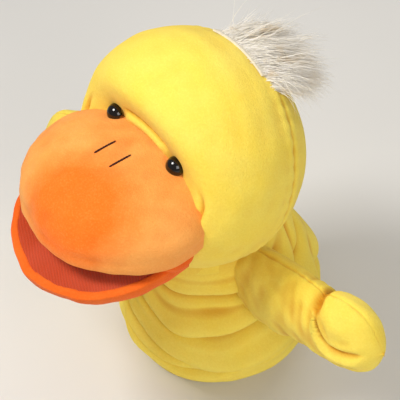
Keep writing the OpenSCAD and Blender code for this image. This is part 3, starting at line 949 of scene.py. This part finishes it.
class PUPPET_OT_neck(bpy.types.Operator):
    """Build the plush cuff and inner tube that join the sleeve to the head"""
    bl_idname = "puppet.neck"
    bl_label = "Neck"

    def execute(self, context):
        across = Vector((1, 0, 0))
        ahead = NECK.cross(across)
        # cones about the neck's line: half angle in degrees, and the distances from the head's
        # middle where they start and end
        for name, slope, outer, inner, node in (
                ("neck_cuff", 30.6, 0.0996, 0.0890, "neck_gusset"),
                ("neck_tube", 28.2, 0.093, 0.070, "neck_lining")):
            def shape(angle, t, slope=slope, outer=outer, inner=inner):
                reach = outer + (inner - outer) * t
                lean = math.radians(slope)
                ring = np.outer(np.cos(angle), across) + np.outer(np.sin(angle), ahead)
                points = (np.array(HEAD) + (reach * math.sin(lean))[:, None] * ring
                          - (reach * math.cos(lean))[:, None] * np.array(NECK))
                return points + ring * (0.0006 * lumps(points, 0.02, 71))[:, None]
            mesh = tube_mesh(name, 96, 10, shape)
            piece = add_piece(name, mesh, "yellow_plush", None, (node,))
            give_thickness(piece, 0.0016)
            if node == "neck_gusset":
                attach(piece, "collar")
            else:
                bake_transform(piece)
        return {"FINISHED"}


class PUPPET_OT_wings(bpy.types.Operator):
    """Build the two padded wings"""
    bl_idname = "puppet.wings"
    bl_label = "Wings"

    def execute(self, context):
        for side in ("left", "right"):
            place = wing_space(side)
            mesh = ball_mesh(f"wing_{side}", 6, wing_shape(WING_ROOT), place)
            wing = add_piece(f"wing_{side}", mesh, "yellow_plush", None,
                             (f"wing_{side}_front_panel", f"wing_{side}_back_panel",
                              f"wing_{side}_stuffing"))
            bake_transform(wing)
        return {"FINISHED"}


class PUPPET_OT_inner_parts(bpy.types.Operator):
    """Give the carried-over pieces their finishes"""
    bl_idname = "puppet.inner_parts"
    bl_label = "Inner parts"

    def execute(self, context):
        for row in frame["record"]["subparts"]:
            node = frame["nodes"][row["node"]]
            node.data.materials.clear()
            node.data.materials.append(finish_of(row["material_slot"]))
        return {"FINISHED"}


def direction(turn, height):
    """The way out to a turn round the duck's front and a height above level, in degrees"""
    a, e = math.radians(turn), math.radians(height)
    return Vector((math.sin(a) * math.cos(e), -math.cos(a) * math.cos(e), math.sin(e)))


def aim_at(thing, point):
    """Turns a camera or light to face the point"""
    thing.rotation_euler = (point - thing.location).to_track_quat("-Z", "Y").to_euler()


class PUPPET_OT_stage(bpy.types.Operator):
    """Set the floor, lights and camera"""
    bl_idname = "puppet.stage"
    bl_label = "Stage"

    def execute(self, context):
        scene = context.scene
        bm = bmesh.new()
        bmesh.ops.create_grid(bm, x_segments=1, y_segments=1, size=4)
        floor = add_object("floor", mesh_from("floor", bm))
        finish = Finish("floor_paper", 0.9)
        finish.colour(finish.ramp(finish.noise(3), [(0.3, (0.70, 0.69, 0.67, 1)),
                                                    (0.7, (0.74, 0.73, 0.71, 1))]))
        floor.data.materials.append(finish.material)

        turn, distance = 52.3, 1.112
        back = direction(turn, 44.4)
        right = Vector((math.cos(math.radians(turn)), math.sin(math.radians(turn)), 0))
        up = back.cross(right)
        camera = add_object("camera", bpy.data.cameras.new("camera"))
        camera.location = HEAD + distance * back
        aim_at(camera, HEAD + 0.0084 * right - 0.037 * up)
        camera.data.lens = 143.1
        camera.data.clip_start, camera.data.clip_end = 0.05, 20
        scene.camera = camera

        centre = Vector((0, -0.02, 0.16))
        for name, turn, height, reach, size, power, warmth in (
                ("key", -22, 56, 1.2, 0.35, 11, (1, 0.98, 0.95)),
                ("fill", 75, 30, 1.4, 0.7, 7.5, (1, 0.98, 0.95)),
                ("back", 200, 50, 1.3, 0.8, 4, (1, 0.96, 0.9))):
            light = add_object(name, bpy.data.lights.new(name, "AREA"))
            light.data.size, light.data.energy, light.data.color = size, power, warmth
            light.location = centre + reach * direction(turn, height)
            aim_at(light, centre)
        world = scene.world or bpy.data.worlds.new("studio")
        scene.world = world
        world.use_nodes = True
        background = world.node_tree.nodes["Background"]
        background.inputs["Color"].default_value = (1, 0.98, 0.95, 1)
        background.inputs["Strength"].default_value = 0.30
        scene.view_settings.view_transform = "Standard"
        return {"FINISHED"}


OPERATORS = (PUPPET_OT_stage, PUPPET_OT_head, PUPPET_OT_tuft, PUPPET_OT_upper_beak,
             PUPPET_OT_lower_beak, PUPPET_OT_corners, PUPPET_OT_mouth, PUPPET_OT_nostrils,
             PUPPET_OT_body, PUPPET_OT_neck, PUPPET_OT_wings, PUPPET_OT_inner_parts)


class PUPPET_PT_panel(bpy.types.Panel):
    """Lists the puppet's pieces, sizes and colours"""
    bl_label = "Plush duck puppet"
    bl_idname = "PUPPET_PT_panel"
    bl_space_type = "VIEW_3D"
    bl_region_type = "UI"
    bl_category = "Puppet"

    def draw(self, context):
        for group in (sizes(), colours()):
            box = self.layout.box()
            for name in group.__annotations__:
                box.prop(group, name)
        for operator in OPERATORS:
            self.layout.operator(operator.bl_idname)


CLASSES = (PuppetSizes, PuppetColours, *OPERATORS, PUPPET_PT_panel)


def register():
    for cls in CLASSES:
        bpy.utils.register_class(cls)
    bpy.types.Scene.puppet_sizes = bpy.props.PointerProperty(type=PuppetSizes)
    bpy.types.Scene.puppet_colours = bpy.props.PointerProperty(type=PuppetColours)


def unregister():
    del bpy.types.Scene.puppet_colours
    del bpy.types.Scene.puppet_sizes
    for cls in reversed(CLASSES):
        bpy.utils.unregister_class(cls)


def main():
    """Builds the puppet and its stage"""
    register()
    for operator in OPERATORS:
        group, name = operator.bl_idname.split(".")
        getattr(getattr(bpy.ops, group), name)()
    bpy.context.view_layer.update()


if __name__ == "__main__":
    main()
